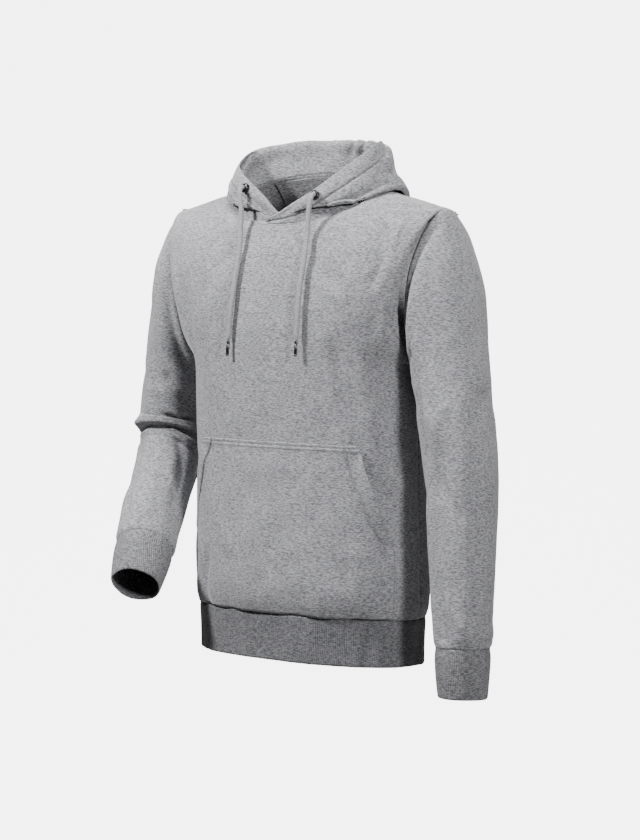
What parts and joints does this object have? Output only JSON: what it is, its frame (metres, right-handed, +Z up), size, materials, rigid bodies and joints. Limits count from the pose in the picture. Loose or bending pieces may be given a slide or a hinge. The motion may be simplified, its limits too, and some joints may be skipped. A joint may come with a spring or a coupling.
{
  "type": "hooded pullover sweatshirt",
  "caption": "Grey hooded pullover with a front pouch pocket, ribbed hem and cuffs and free drawcords, filled out as when worn with the hood lying back.",
  "frame": {"origin": "midway between the two points where the neck seam crosses the shoulders, where the wearer carries it", "axes": "+Z up, the garment faces -Y, +X is the garment's own left side"},
  "size_m": [0.6296, 0.3465, 0.8007],
  "materials": {
    "fleece": "heather grey brushed knit, matt",
    "rib": "darker grey fine rib knit, matt",
    "cord": "flat knitted grey cord",
    "metal": "polished gunmetal plating"
  },
  "bodies": {
    "root": {"front_panel": "fleece", "back_panel": "fleece", "hem_rib": "rib", "sleeve_left": "fleece", "cuff_left": "rib", "sleeve_right": "fleece", "cuff_right": "rib", "hood_left": "fleece", "hood_right": "fleece", "kangaroo_pocket": "fleece", "neck_facing": "fleece", "eyelet_left": "metal", "cord_left": "cord", "cord_tip_left": "metal", "eyelet_right": "metal", "cord_right": "cord", "cord_tip_right": "metal"}
  },
  "joints": []
}
